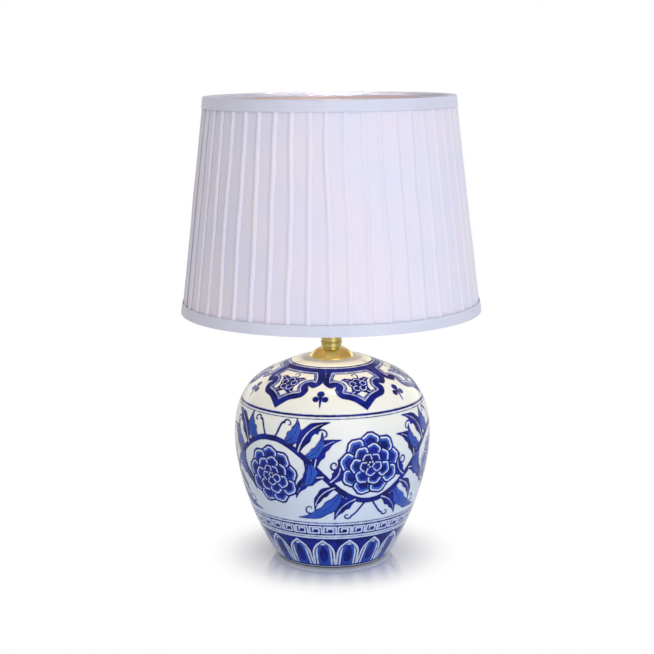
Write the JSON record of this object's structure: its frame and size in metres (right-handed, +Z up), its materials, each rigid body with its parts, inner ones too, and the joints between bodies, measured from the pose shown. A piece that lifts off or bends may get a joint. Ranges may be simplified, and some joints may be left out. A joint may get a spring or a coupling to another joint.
{
  "type": "ginger jar table lamp",
  "caption": "Table lamp with a round-shouldered glazed jar base, a turned brass neck, a screw-in bulb and a tapered pleated fabric shade held between two threaded rings.",
  "frame": {"origin": "centre of the lamp's underside, on the table", "axes": "+Z up along the lamp's axis, +Y to the back, where the cord outlet is"},
  "size_m": [0.2997, 0.2998, 0.4644],
  "materials": {
    "glazed_porcelain": "gloss",
    "felt": "matt",
    "outlet_rubber": "matt",
    "mouth_rubber": "matt",
    "turned_brass": "polished",
    "zinc_steel": "satin",
    "holder_moulding": "gloss",
    "insert_ceramic": "matt",
    "contact_brass": "satin",
    "opal_glass": "opal",
    "bulb_cap_metal": "satin",
    "cap_glass": "gloss",
    "solder_tin": "satin",
    "enamelled_wire": "gloss",
    "lining_film": "matt",
    "pleated_cloth": "satin",
    "binding_tape": "satin"
  },
  "bodies": {
    "lamp_base": {"jar": "glazed_porcelain", "base_felt": "felt", "cord_outlet_bush": "outlet_rubber", "mouth_bush": "mouth_rubber", "brass_cap": "turned_brass", "neck_collar": "turned_brass", "nipple": "zinc_steel", "clamp_disc": "zinc_steel", "lock_washer": "zinc_steel", "clamp_nut": "zinc_steel", "holder_cap": "holder_moulding", "holder_grub_screw": "zinc_steel", "holder_body": "holder_moulding", "holder_insert": "insert_ceramic", "terminal_blocks": "contact_brass", "terminal_screws": "zinc_steel", "centre_contact": "contact_brass", "side_contact": "contact_brass", "screw_shell": "contact_brass", "lower_shade_ring": "holder_moulding"},
    "shade": {"fitter_ring": "enamelled_wire", "fitter_spokes": "enamelled_wire", "bottom_wire_ring": "enamelled_wire", "top_wire_ring": "enamelled_wire", "shade_liner": "lining_film", "pleated_cover": "pleated_cloth", "top_binding": "binding_tape", "bottom_binding": "binding_tape"},
    "shade_ring": {"upper_shade_ring": "holder_moulding"},
    "bulb_tip": {"bulb_contact": "solder_tin"},
    "bulb": {"bulb_glass": "opal_glass", "bulb_cap": "bulb_cap_metal", "bulb_insulator": "cap_glass"}
  },
  "joints": [
    {"name": "shade_turn", "type": "hinge", "parent": "lamp_base", "child": "shade", "pos_m": [0, 0, 0.2671], "axis": [0, 0, 1], "continuous": true},
    {"name": "shade_ring_travel", "type": "slide", "parent": "lamp_base", "child": "shade_ring", "axis": [0, 0, 1], "range_m": [0, 0.016]},
    {"name": "bulb_rise", "type": "slide", "parent": "lamp_base", "child": "bulb_tip", "axis": [0, 0, 1], "range_m": [0, 0.00907]},
    {"name": "bulb_turn", "type": "hinge", "parent": "bulb_tip", "child": "bulb", "pos_m": [0, 0, 0.2649], "axis": [0, 0, 1], "range_deg": [0, 900]}
  ],
  "couplings": [
    {"joint": "bulb_turn", "follows": "bulb_rise", "rad_per_m": 1731.6}
  ]
}
